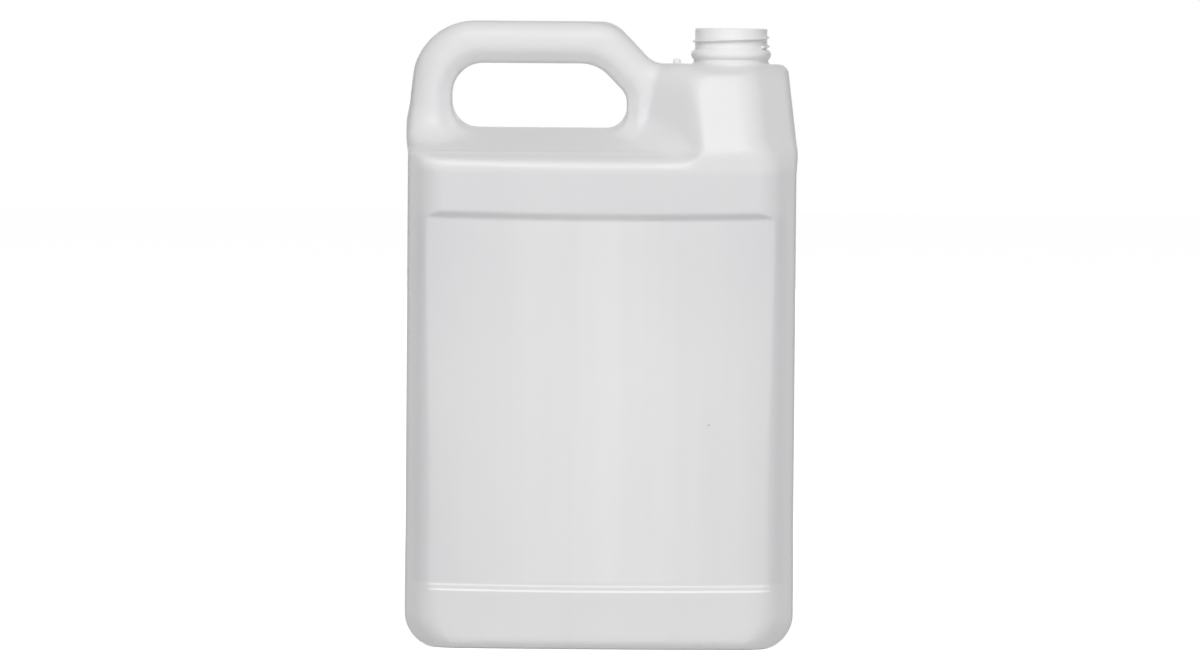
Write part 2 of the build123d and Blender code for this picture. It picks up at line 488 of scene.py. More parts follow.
@dataclass
class Body:
    """The block of the jug: walls, foot and the roof under the hand opening."""

    half_width: float = 92.35
    half_depth: float = 47.95
    crown: float = 4.0
    wall: float = 0.9
    foot_radius: float = 16.0
    foot_reach: float = 27.0
    foot_share: Span = (0.15, 0.85)
    foot_bulge: float = 0.25
    foot_bulge_z: Span = (60.0, 32.0)
    leg_bulge: float = 1.35
    leg_bulge_z: Span = (228.0, 246.0)
    leg_bulge_y: Span = (24.0, 15.0)
    tower_bulge: float = 0.75
    tower_bulge_z: Span = (224.0, 237.0)
    shoulder_z: float = 231.0
    ledge_run: float = 12.0
    ledge_rise: float = 5.6
    ledge_blend: float = 1.5
    crease_depth: float = 0.3
    crease_width: float = 1.3
    ridge_z: float = 248.5  # where the two slopes of the roof would meet
    ridge_round: float = 4.0
    left_bevel: Bevel = Bevel(11.2, 11.6, 18.0, 5.0)
    right_bevel: Bevel = Bevel(13.0, 11.6, 20.0, 5.0)
    right_bevel_x: Span = (-20.0, 20.0)
    tower_bevel: Bevel = Bevel(20.0, 19.0, 20.0, 10.0)
    tower_bevel_x: Span = (0.0, 40.0)
    tower_bevel_z: Span = (228.0, 244.0)
    foot_bevel: Bevel = Bevel(3.8, 3.8, 6.5, 6.5)

    def face(self, x: Array) -> Array:
        """Half depth at a place along the crowned face."""
        return self.half_depth - self.crown * np.minimum(np.abs(x) / self.half_width, 1.0) ** 2

    def front(self, x: Array, y: Array, z: Array, tower: Tower) -> Array:
        """Distance to the front and back, which lean in above the tower's break."""
        return soft_max(np.abs(y) - self.face(x), tower.front(y, z), tower.break_blend)

    def side(self, x: Array, y: Array, z: Array, tower: Tower) -> Array:
        """Distance to the two sides: the tower's leans in, and the leg's stands out a little.

        Args:
            x: Across the jug.
            y: From front to back.
            z: Upwards.
            tower: The neck tower, for its leaning side.

        Returns:
            The distance.
        """
        foot = self.foot_bulge * step(self.foot_bulge_z, z)
        leg = self.leg_bulge * step(self.leg_bulge_z, z) * step(self.leg_bulge_y, np.abs(y))
        left = -x - self.half_width - foot - leg
        right = x - self.half_width - foot - self.tower_bulge * step(self.tower_bulge_z, z)
        return np.where(x > 0, right + tower.side_lean(z), left)

    def block(self, x: Array, y: Array, z: Array, tower: Tower) -> Array:
        """Distance to the walls and the foot, with their softly bevelled corners.

        Args:
            x: Across the jug.
            y: From front to back.
            z: Upwards.
            tower: The neck tower, for its leaning front and side.

        Returns:
            The distance.
        """
        side = self.side(x, y, z, tower)
        edge = round_cut(side, -z, self.foot_radius)
        beside = np.maximum(side + self.foot_reach, 0.0) + 1e-6  # never quite 0, which has no direction
        upright = step(self.foot_share, beside / np.hypot(beside, np.maximum(self.foot_reach - z, 0.0)))
        bevel = self.left_bevel.towards(self.right_bevel, step(self.right_bevel_x, x))
        at_tower = step(self.tower_bevel_z, z) * step(self.tower_bevel_x, x)
        bevel = self.foot_bevel.towards(bevel.towards(self.tower_bevel, at_tower), upright)
        return bevel.cut(self.front(x, y, z, tower), edge)

    def roof(self, y: Array, z: Array) -> Array:
        """Distance to the ledges and the flatter roof between them.

        Args:
            y: From front to back.
            z: Upwards.

        Returns:
            The distance.
        """
        edge, rise = self.half_depth - self.ledge_run, self.ledge_rise / self.ledge_run
        top = self.shoulder_z + self.ledge_rise
        pitch = (self.ridge_z - top) / edge
        across = np.sqrt(y * y + self.ridge_round**2)
        ledge = (z - self.shoulder_z + (np.abs(y) - self.half_depth) * rise) / math.hypot(1, rise)
        slope = (z - top + (across - edge) * pitch) / math.hypot(1, pitch)
        crease = self.crease_depth * np.exp(-(((np.abs(y) - edge) / self.crease_width) ** 2))
        return soft_max(ledge, slope, self.ledge_blend) - crease


@dataclass
class Handle:
    """The grip with its two legs, drawn in the parting plane."""

    top_z: float = 297.95
    leg_break: Corner = (-94.4, 252.0)
    leg_top: Corner = (-86.3, 298.0)
    corner_radius: float = 30.0
    slope_top: Corner = (5.6, 298.0)
    slope_foot: Corner = (24.6, 278.1)
    slope_top_radius: float = 16.0
    slope_foot_radius: float = 11.5
    middle_x: float = -20.0
    half_high: float = 13.0
    half_low: float = 14.5
    half_fall: float = 50.6  # height over which the grip gets that much deeper
    edge_radius: float = 10.4
    left_radius: float = 12.2
    left_radius_x: Span = (-62.0, -84.0)
    leg_width: float = 10.8
    leg_radius: float = 6.5
    high_spread: float = 14.0
    high_spread_z: Span = (256.0, 280.0)
    left_spread: float = 30.0
    left_spread_x: Span = (8.0, -20.0)
    leg_root: float = 5.0
    inner_bevel: Bevel = Bevel(6.6, 5.6, 8.0, 4.0)

    def outline(self, x: Array, z: Array, level: Array) -> Array:
        """Distance to the silhouette above the shoulder, without the hand opening.

        Args:
            x: Across the jug.
            z: Upwards.
            level: Distance to the tower's top, which the slope runs down to.

        Returns:
            The distance.
        """
        leg = beyond(x, z, self.leg_break, self.leg_top)
        slope = beyond(x, z, self.slope_top, self.slope_foot)
        lean, fall = upward(self.leg_break, self.leg_top), upward(self.slope_top, self.slope_foot)
        left = round_cut(leg, z - self.top_z, self.corner_radius, lean)
        right = round_cut(z - self.top_z, slope, self.slope_top_radius, fall)
        right = round_join(right, level, self.slope_foot_radius, fall)
        return np.where(x < self.middle_x, left, right)

    def half_depth(self, z: Array) -> Array:
        """Half the grip's depth at a height."""
        return self.half_high + (self.top_z - z) * (self.half_low - self.half_high) / self.half_fall

    def tube(self, x: Array, y: Array, z: Array, opening: Array) -> Array:
        """Distance to the grip and its legs, without the web beside the right leg.

        Args:
            x: Across the jug.
            y: From front to back.
            z: Upwards.
            opening: Distance to the hand opening.

        Returns:
            The distance.
        """
        high = self.high_spread * step(self.high_spread_z, z)
        spread = np.maximum(high, self.left_spread * step(self.left_spread_x, x))
        return round_cut(np.abs(y) - self.half_depth(z), opening - self.leg_width - spread, self.leg_radius)


@dataclass
class HandOpening:
    """The opening through the handle."""

    left_x: float = -72.05
    middle_x: float = -30.0
    right_x: float = 11.7
    top_z: float = 277.8
    bend_z: float = 268.0
    foot_z: float = 215.0
    slope_top: Corner = (-2.7, 277.8)
    slope_foot: Corner = (12.4, 262.2)
    left_radius: float = 15.0
    top_radius: float = 18.0
    right_radius: float = 9.8

    def distance(self, x: Array, z: Array) -> Array:
        """Distance to the opening, negative within it.

        Args:
            x: Across the jug.
            z: Upwards.

        Returns:
            The distance, as if the opening ran on down into the roof.
        """
        left, right, top = self.left_x - x, x - self.right_x, z - self.top_z
        slope = beyond(x, z, self.slope_top, self.slope_foot)
        fall = upward(self.slope_top, self.slope_foot)
        high = round_cut(top, slope, self.top_radius, fall)
        side = round_cut(slope, right, self.right_radius, math.sqrt(1.0 - fall**2))
        right_end = np.where(z > self.bend_z, high, side)
        ends = np.where(x < self.middle_x, round_cut(left, top, self.left_radius), right_end)
        return np.maximum(ends, self.foot_z - z)


@dataclass
class LabelPanel:
    """The sunk label field, front and back, with its undercut top and double step below."""

    half_width: float = 82.0
    low_z: float = 27.95
    mid_z: float = 30.35
    high_z: float = 209.2
    step_height: float = 1.1
    low_share: float = 0.65  # of the depth, in the lower of the two steps
    top_height: float = 4.8
    depth: float = 1.4
    top_depth: float = 2.8
    deepening_z: Span = (60.0, 200.0)
    dip: float = 1.2
    low_dip: float = 0.48

    def sink(self, x: Array, z: Array) -> Array:
        """How far the face is drawn in at a place.

        Args:
            x: Across the face.
            z: Upwards.

        Returns:
            The depth.
        """
        bow = 1.0 - (x / self.half_width) ** 2
        bent = z + self.low_dip * bow
        top = step((self.high_z, self.high_z - self.top_height), z + self.dip * bow)
        low = self.low_share * step((self.low_z, self.low_z + self.step_height), bent)
        low = low + (1.0 - self.low_share) * step((self.mid_z, self.mid_z + self.step_height), bent)
        return (self.depth + (self.top_depth - self.depth) * step(self.deepening_z, z)) * top * low


@dataclass
class Foot:
    """The push-up under the jug and the pinch-off seam across it."""

    height: float = 3.0
    margin: float = 19.0
    slope: float = 1.2
    rim_z: float = -0.5
    corner_radius: float = 10.0
    roof_radius: float = 2.5
    edge_radius: float = 1.5
    seam_length: float = 120.0
    seam_width: float = 1.8
    seam_height: float = 1.0
    seam_flank: Span = (0.6, -0.4)

    def hollow(self, x: Array, y: Array, z: Array, body: Body) -> Array:
        """Distance to the hollow under the jug.

        Args:
            x: Across the jug.
            y: From front to back.
            z: Upwards.
            body: The body, for its plan.

        Returns:
            The distance, negative within the hollow.
        """
        beside, before = np.abs(x) - body.half_width, np.abs(y) - body.face(x)
        plan = round_cut(beside + self.margin, before + self.margin, self.corner_radius)
        side = (plan + (z - self.rim_z) * self.slope) / math.hypot(1, self.slope)
        seam = np.maximum(np.abs(y) - self.seam_width / 2, np.abs(x) - self.seam_length / 2)
        roof = z - self.height + self.seam_height * step(self.seam_flank, seam)
        return round_cut(side, roof, self.roof_radius)


@dataclass
class Neck:
    """The screw finish without its thread: waist, bead, barrel and rim, and the bore through them."""

    axis_x: float = 61.5
    top_z: float = 295.0
    radius: float = 17.3
    bore: float = 15.8
    bore_foot_z: float = 268.0
    bore_round: float = 0.3
    bore_past: float = 0.05
    bore_above: float = 2.0
    rim_round: float = 0.6
    rim_steps: int = 5
    waist_radius: float = 17.8
    waist_low: float = 261.2
    waist_top: float = 281.2
    root_fillet: float = 1.4
    bead_radius: float = 19.2
    bead_low: float = 279.5
    bead_z: float = 282.6
    bead_high: float = 284.9
    bead_steps: int = 9
    swell_steps: int = 10
    tuck: Corner = (0.8, 0.6)  # how far the bead's foot goes into the waist and down
    around: int = 180

    def stub(self, x: Array, y: Array, z: Array) -> Array:
        """Distance to the waist, up to a height that the bead hides."""
        ends = np.maximum(z - self.waist_top, self.waist_low - z)
        return np.maximum(np.hypot(x - self.axis_x, y) - self.waist_radius, ends)

    def outside(self) -> list[Corner]:
        """Outline of the bead, the barrel and the rim.

        Returns:
            Radius and height of each corner, from below the bead up.
        """
        swell, quarter = self.bead_radius - self.radius, math.pi / 2
        below, above = self.bead_z - self.bead_low, self.bead_high - self.bead_z
        core, rim_low = self.radius - self.rim_round, self.top_z - self.rim_round
        low = [(self.radius + swell * math.sin(quarter * t), self.bead_low + below * t)
               for t in np.linspace(0.0, 1.0, self.swell_steps)]
        high = [(self.radius + swell * math.cos(a), self.bead_z + above * math.sin(a))
                for a in np.linspace(0.0, quarter, self.bead_steps)[1:]]
        rim = [(core + self.rim_round * math.cos(a), rim_low + self.rim_round * math.sin(a))
               for a in np.linspace(0.0, quarter, self.rim_steps)]
        return [(self.radius - self.tuck[0], self.bead_low - self.tuck[1]), *low, *high, *rim]

    def build(self) -> bpy.types.Object:
        """Turns the bead and the barrel."""
        return place("neck", lathe("neck", self.outside(), self.axis_x, self.around))

    def drill(self) -> bpy.types.Object:
        """Makes the solid that opens the bore, wider by a small round at the rim.

        Returns:
            The solid, which ends above the rim.
        """
        wide = self.bore + self.bore_round
        corners = [(self.bore, self.bore_foot_z), (self.bore, self.top_z - self.bore_round),
                   (wide, self.top_z + self.bore_past), (wide, self.top_z + self.bore_above)]
        return place("bore", lathe("bore", corners, self.axis_x, self.around))


@dataclass
class Thread:
    """The screw thread, swept along a helix: sloped above and steep below, fading at both ends."""

    neck: Neck
    hand: Hand = Hand.RIGHT
    pitch: float = 4.233
    turns: float = 1.26
    height: float = 1.25
    sunk: float = 0.5
    upper: float = 1.45
    lower: float = 0.55
    crest_share: float = 0.35
    corner_radius: float = 0.22
    corner_steps: int = 3
    fade: float = 0.13
    least: float = 0.02
    low_z: float = 286.1
    low_angle: float = -34.0
    steps: int = 120

    def build(self, finish: bpy.types.Material) -> bpy.types.Object:
        """Sweeps the thread and sets it on the barrel.

        Args:
            finish: What the thread is made of.

        Returns:
            The thread as a closed mesh.
        """
        climb = self.pitch * self.turns
        drawn_down = self.hand is Hand.RIGHT  # the spiral node turns clockwise, seen from above
        start_z = self.low_z + (climb if drawn_down else 0.0)
        start_angle = self.low_angle + (360.0 * self.turns if drawn_down else 0.0)
        sizes = {
            "Radius": self.neck.radius * MM,
            "Climb": -self.hand.value * climb * MM,
            "Turns": self.turns,
            "Crest": self.height * MM,
            "Sunk": self.sunk * MM,
            "Upper": self.upper * MM,
            "Lower": self.lower * MM,
            "Fade": self.fade,
            "Round": self.corner_radius * MM,
        }
        thread = place("thread", grown("thread", self.tree(list(sizes), finish), sizes))
        turn = Matrix.Rotation(math.radians(start_angle), 4, "Z")
        thread.data.transform(Matrix.Translation((self.neck.axis_x * MM, 0.0, start_z * MM)) @ turn)
        return thread

    def tree(self, names: list[str], finish: bpy.types.Material) -> bpy.types.NodeTree:
        """Makes the tree that sweeps the thread's profile along its helix.

        Args:
            names: Names of the tree's inputs.
            finish: The material that it sets.

        Returns:
            The tree.
        """
        tree = bpy.data.node_groups.new("screw_thread", "GeometryNodeTree")
        for name in names:
            tree.interface.new_socket(name, in_out="INPUT", socket_type="NodeSocketFloat")
        tree.interface.new_socket("Geometry", in_out="OUTPUT", socket_type="NodeSocketGeometry")
        given = tree.nodes.new("NodeGroupInput")
        size = {name: Link(tree, given.outputs[name]) for name in names}
        swept = node(tree, "GeometryNodeCurveToMesh", {}, {
            "Curve": self.helix(tree, size), "Profile Curve": self.profile(tree, size), "Fill Caps": True})
        swept = node(tree, "GeometryNodeRealizeInstances", {}, {"Geometry": swept})
        swept = node(tree, "GeometryNodeSetMaterial", {}, {"Geometry": swept, "Material": finish})
        out = tree.nodes.new("NodeGroupOutput")
        tree.links.new(swept.socket, out.inputs["Geometry"])
        return tree

    def helix(self, tree: bpy.types.NodeTree, size: dict[str, Link]) -> Link:
        """Draws the thread's path, whose radius gives the profile's size along it.

        Args:
            tree: The thread's tree.
            size: The tree's inputs by name.

        Returns:
            The path.
        """
        path = node(tree, "GeometryNodeCurveSpiral", {}, {
            "Resolution": self.steps, "Rotations": size["Turns"], "Start Radius": size["Radius"],
            "End Radius": size["Radius"], "Height": size["Climb"], "Reverse": False})
        along = node(tree, "GeometryNodeSplineParameter", {}, {}, "Factor")
        start, end = (node(tree, "ShaderNodeMapRange", {"interpolation_type": "SMOOTHSTEP"},
                           {"Value": way, "From Max": size["Fade"], "To Min": self.least})
                      for way in (along, 1.0 - along))
        path = node(tree, "GeometryNodeSetCurveNormal", {"mode": "Z_UP"}, {"Curve": path})
        return node(tree, "GeometryNodeSetCurveRadius", {}, {"Curve": path, "Radius": start * end})

    def profile(self, tree: bpy.types.NodeTree, size: dict[str, Link]) -> Link:
        """Draws the thread's section, whose first axis points inwards and second one down.

        Args:
            tree: The thread's tree.
            size: The tree's inputs by name.

        Returns:
            The section, with rounded corners.
        """
        corners = (("Point 1", size["Sunk"], -size["Upper"]), ("Point 2", size["Sunk"], size["Lower"]),
                   ("Point 3", -size["Crest"], self.crest_share * size["Lower"]),
                   ("Point 4", -size["Crest"], -self.crest_share * size["Lower"]))
        points = {name: node(tree, "ShaderNodeCombineXYZ", {}, {"X": inward, "Y": down})
                  for name, inward, down in corners}
        section = node(tree, "GeometryNodeCurvePrimitiveQuadrilateral", {"mode": "POINTS"}, points)
        return node(tree, "GeometryNodeFilletCurve", {"mode": "POLY"},
                    {"Curve": section, "Count": self.corner_steps, "Radius": size["Round"]})


@dataclass
class Lug:
    """The small nub on the tower's top, beside the neck, that stops a cap's ring."""

    centre_x: float = 35.6
    low_z: float = 276.5
    high_z: float = 280.5
    width: float = 3.6
    depth: float = 3.0
    edge_radius: float = 1.1
    segments: int = 6

    def build(self) -> bpy.types.Object:
        """Makes the nub as a softened block.

        Returns:
            The nub as a closed mesh.
        """
        form = bmesh.new()
        bmesh.ops.create_cube(form, size=1.0)
        size = Vector((self.width, self.depth, self.high_z - self.low_z)) * MM
        bmesh.ops.scale(form, verts=form.verts, vec=size)
        bmesh.ops.bevel(form, geom=form.edges, offset=self.edge_radius * MM, segments=self.segments,
                        profile=0.5, affect="EDGES")
        middle = Vector((self.centre_x, 0.0, (self.low_z + self.high_z) / 2)) * MM
        bmesh.ops.translate(form, verts=form.verts, vec=middle)
        mesh = bpy.data.meshes.new("lug")
        form.to_mesh(mesh)
        form.free()
        return place("lug", mesh)


@dataclass
class Skin:
    """The whole outside of the jug below its bead, as one distance field."""

    body: Body = field(default_factory=Body)
    handle: Handle = field(default_factory=Handle)
    opening: HandOpening = field(default_factory=HandOpening)
    tower: Tower = field(default_factory=Tower)
    panel: LabelPanel = field(default_factory=LabelPanel)
    foot: Foot = field(default_factory=Foot)
    neck: Neck = field(default_factory=Neck)
    left_root: float = 12.7
    right_root: float = 9.8
    right_root_x: Span = (-60.0, -10.0)
    front_root: float = 3.5
    front_root_y: Span = (28.0, 44.0)
    rim_radius: float = 4.3
    rim_turn: float = 0.40  # cosine between the wall and the ledge
    tower_turn: float = 0.38  # how much more that is at the tower
    tower_turn_x: Span = (40.0, 50.0)
    rim_y: Span = (30.0, 42.0)
    rim_lean: float = 0.35
    panel_blend: float = 0.3

    def top(self, x: Array, y: Array, z: Array) -> Array:
        """Distance to the handle and the tower as one blended form.

        Args:
            x: Across the jug.
            y: From front to back.
            z: Upwards.

        Returns:
            The distance.
        """
        handle, tower = self.handle, self.tower
        opening = self.opening.distance(x, z)
        column = round_join(handle.tube(x, y, z, opening), tower.web(x, y), handle.leg_root)
        column = round_join(tower.left(x, y, z), column, tower.leg_fillet, tower.flare(z))
        outline = handle.outline(x, z, tower.level(y, z))
        radius = handle.edge_radius + (tower.edge_radius - handle.edge_radius) * step(tower.edge_x, x)
        radius = radius + (handle.left_radius - handle.edge_radius) * step(handle.left_radius_x, x)
        return round_cut(handle.inner_bevel.cut(column, -opening), outline, radius)

    def shell(self, x: Array, y: Array, z: Array) -> Array:
        """Distance to the jug without its neck, panels and foot hollow.

        Args:
            x: Across the jug.
            y: From front to back.
            z: Upwards.

        Returns:
            The distance.
        """
        root = self.left_root + (self.right_root - self.left_root) * step(self.right_root_x, x)
        root = root + (self.front_root - root) * step(self.front_root_y, np.abs(y))
        upper = round_join(self.body.roof(y, z), self.top(x, y, z), root)
        above = np.maximum(z - self.body.shoulder_z, 0.0)
        facing = step(self.rim_y, np.abs(y) + self.rim_lean * above)
        turn = facing * (self.rim_turn + self.tower_turn * step(self.tower_turn_x, x))
        return round_cut(self.body.block(x, y, z, self.tower), upper, self.rim_radius, turn)

    def moulded(self, x: Array, y: Array, z: Array) -> Array:
        """Distance to the jug without its neck.

        Args:
            x: Across the jug.
            y: From front to back.
            z: Upwards.

        Returns:
            The distance.
        """
        sunk = np.abs(y) - self.body.face(x) + self.panel.sink(x, z)
        form = soft_max(self.shell(x, y, z), sunk, self.panel_blend)
        return round_cut(form, -self.foot.hollow(x, y, z, self.body), self.foot.edge_radius)

    def outside(self, x: Array, y: Array, z: Array) -> Array:
        """Distance to the outside, with every moulded detail below the bead."""
        return round_join(self.moulded(x, y, z), self.neck.stub(x, y, z), self.neck.root_fillet)

    def inside(self, x: Array, y: Array, z: Array) -> Array:
        """Distance to the space within the walls."""
        return self.moulded(x, y, z) + self.body.wall


@dataclass
class Lattice:
    """Lines along which the field is read: close together where the jug has detail."""

    x: Array
    y: Array
    z: Array

    @staticmethod
    def line(*runs: tuple[float, float]) -> Array:
        """Grid line made of runs of even spacing.

        Args:
            runs: Pairs of a run's start and its spacing; the last pair gives the end.

        Returns:
            The places of the grid's lines.
        """
        parts = []
        for (start, gap), (end, _) in zip(runs, runs[1:]):
            count = max(1, round((end - start) / gap))
            parts.append(np.linspace(start, end, count, endpoint=False))
        return np.append(np.concatenate(parts), runs[-1][0])

    @classmethod
    def fine(cls) -> Lattice:
        """Grid for the outside, the same in front and behind.

        Returns:
            The grid.
        """
        y = cls.line((0.3, 1.25), (22.0, 1.6), (34.0, 1.1), (49.4, 0.0))
        return cls(
            x=cls.line((-95.6, 1.25), (-70.0, 3.2), (-6.0, 1.3), (52.0, 1.35), (95.6, 0.0)),
            y=np.concatenate([-y[::-1], y]),
            z=cls.line((-1.1, 1.4), (17.0, 2.4), (26.6, 0.45), (33.4, 6.0), (198.0, 0.8), (209.6, 2.6),
                       (223.0, 1.0), (252.0, 1.4), (274.0, 0.9), (300.0, 0.0)),
        )

    @classmethod
    def coarse(cls) -> Lattice:
        """Grid for the inside.

        Returns:
            The grid.
        """
        return cls(
            x=cls.line((-95.0, 3.0), (-60.0, 5.0), (-10.0, 3.0), (95.0, 0.0)),
            y=cls.line((-49.0, 3.0), (49.2, 0.0)),
            z=cls.line((-1.0, 3.0), (23.0, 1.5), (38.0, 9.0), (198.0, 1.5), (213.0, 3.0), (300.0, 0.0)),
        )

    def net(self, distance: Distance) -> tuple[Array, Array]:
        """Meshes the surface where the field is zero, with one vertex in each cell it crosses.

        Args:
            distance: The field, in millimetres, negative inside.

        Returns:
            The vertices and the four-cornered faces, pointing outwards.
        """
        axes = (self.x, self.y, self.z)
        value = np.asarray(distance(*np.meshgrid(*axes, indexing="ij")), dtype=np.float64)
        inside = value < 0
        cells = tuple(len(a) - 1 for a in axes)
        total, count = np.zeros(cells + (3,)), np.zeros(cells)
        crossings = []
        for axis, line in enumerate(axes):
            low = [slice(None)] * 3
            high = [slice(None)] * 3
            low[axis], high[axis] = slice(0, -1), slice(1, None)
            low, high = tuple(low), tuple(high)
            where = np.argwhere(inside[low] != inside[high])
            i, j, k = where.T
            first, second = value[low][i, j, k], value[high][i, j, k]
            point = np.stack([axes[0][i], axes[1][j], axes[2][k]], axis=1)
            index = where[:, axis]
            point[:, axis] += first / (first - second) * (line[index + 1] - line[index])
            others = [a for a in range(3) if a != axis]
            around = []
            for da, db in ((0, 0), (1, 0), (1, 1), (0, 1)):
                cell = where.copy()
                cell[:, others[0]] -= da
                cell[:, others[1]] -= db
                around.append(cell)
                np.add.at(total, tuple(cell.T), point)
                np.add.at(count, tuple(cell.T), 1)
            crossings.append((around, (first < 0) ^ (axis == 1)))
        number = np.full(cells, -1)
        used = count > 0
        number[used] = np.arange(used.sum())
        faces = []
        for around, flip in crossings:
            corner = np.stack([number[tuple(c.T)] for c in around], axis=1)
            corner[flip] = corner[flip][:, ::-1]
            faces.append(corner[:, ::-1])
        return total[used] / count[used][:, None], np.concatenate(faces)


def slope_of(distance: Distance, points: Array, reach: float = 0.04) -> Array:
    """Gradient of a field at some points.

    Args:
        distance: The field.
        points: The points, one in each row.
        reach: Half the distance between the two readings.

    Returns:
        The gradient, one in each row.
    """
    x, y, z = points.T
    return np.stack([
        distance(x + reach, y, z) - distance(x - reach, y, z),
        distance(x, y + reach, z) - distance(x, y - reach, z),
        distance(x, y, z + reach) - distance(x, y, z - reach),
    ], axis=1) / (2 * reach)


def settle(distance: Distance, points: Array, rounds: int = 4, longest: float = 1.2,
           least: float = 0.2) -> Array:
    """Moves points onto the surface of a field.

    Args:
        distance: The field.
        points: The points, one in each row.
        rounds: How often they are moved.
        longest: The furthest that a point moves in one round.
        least: Least square of the gradient, which keeps the moves finite.

    Returns:
        The moved points.
    """
    for _ in range(rounds):
        slope = slope_of(distance, points)
        size = np.maximum((slope**2).sum(axis=1), least)
        move = (distance(*points.T) / size)[:, None] * slope
        length = np.linalg.norm(move, axis=1, keepdims=True)
        points = points - move * np.minimum(1.0, longest / np.maximum(length, 1e-9))
    return points


@dataclass
class Jug:
    """The whole moulding as one closed mesh."""

    skin: Skin
    finish: bpy.types.Material

    def build(self) -> bpy.types.Object:
        """Meshes the outside and the inside, joins the neck and opens its bore.

        Returns:
            The finished object.
        """
        neck = self.skin.neck
        jug = self.mesh("jug_skin", self.skin.outside, Lattice.fine())
        for part in (neck.build(), Thread(neck).build(self.finish), Lug().build()):
            log.info("%s: %d faces", part.name, len(part.data.polygons))
            jug = merged(jug, part, Merge.JOIN)
        space = merged(self.mesh("space", self.skin.inside, Lattice.coarse()), neck.drill(), Merge.JOIN)
        jug = merged(jug, space, Merge.CUT)
        jug.data.materials.clear()
        jug.data.materials.append(self.finish)
        jug.data.shade_smooth()
        jug.data.calc_loop_triangles()
        log.info("%s: %d triangles", jug.name, len(jug.data.loop_triangles))
        return jug

    def mesh(self, name: str, form: Distance, lattice: Lattice) -> bpy.types.Object:
        """Meshes a field and lays its vertices exactly on the surface.

        Args:
            name: Name of the object.
            form: The field.
            lattice: Where the field is read.

        Returns:
            The closed surface.
        """
        vertices, faces = lattice.net(form)
        log.info("%s: %d faces", name, len(faces))
        return place(name, mesh_from(name, settle(form, vertices), faces.tolist()))


@dataclass(frozen=True)
class Cloud:
    """Cloudy noise, stretched by giving each axis its own scale."""

    scale: Point
    detail: float

    def build(self, tree: bpy.types.NodeTree, at: Link) -> Link:
        """Adds the noise."""
        spread = node(tree, "ShaderNodeMapping", {}, {"Vector": at, "Scale": self.scale})
        return node(tree, "ShaderNodeTexNoise", {}, {"Vector": spread, "Scale": 1.0, "Detail": self.detail})


@dataclass(frozen=True)
class Ground:
    """Where a point of the skin is, in millimetres, and the noises there, as links of a material."""

    x: Link
    y: Link
    z: Link
    off: Link  # distance from the middle of the face, 1 at the panel's side
    across: Link  # its square
    face: Link  # 1 on the front and the back
    panel: Link  # 1 on their label panels
    streaks: Link
    bands: Link
    fine: Link


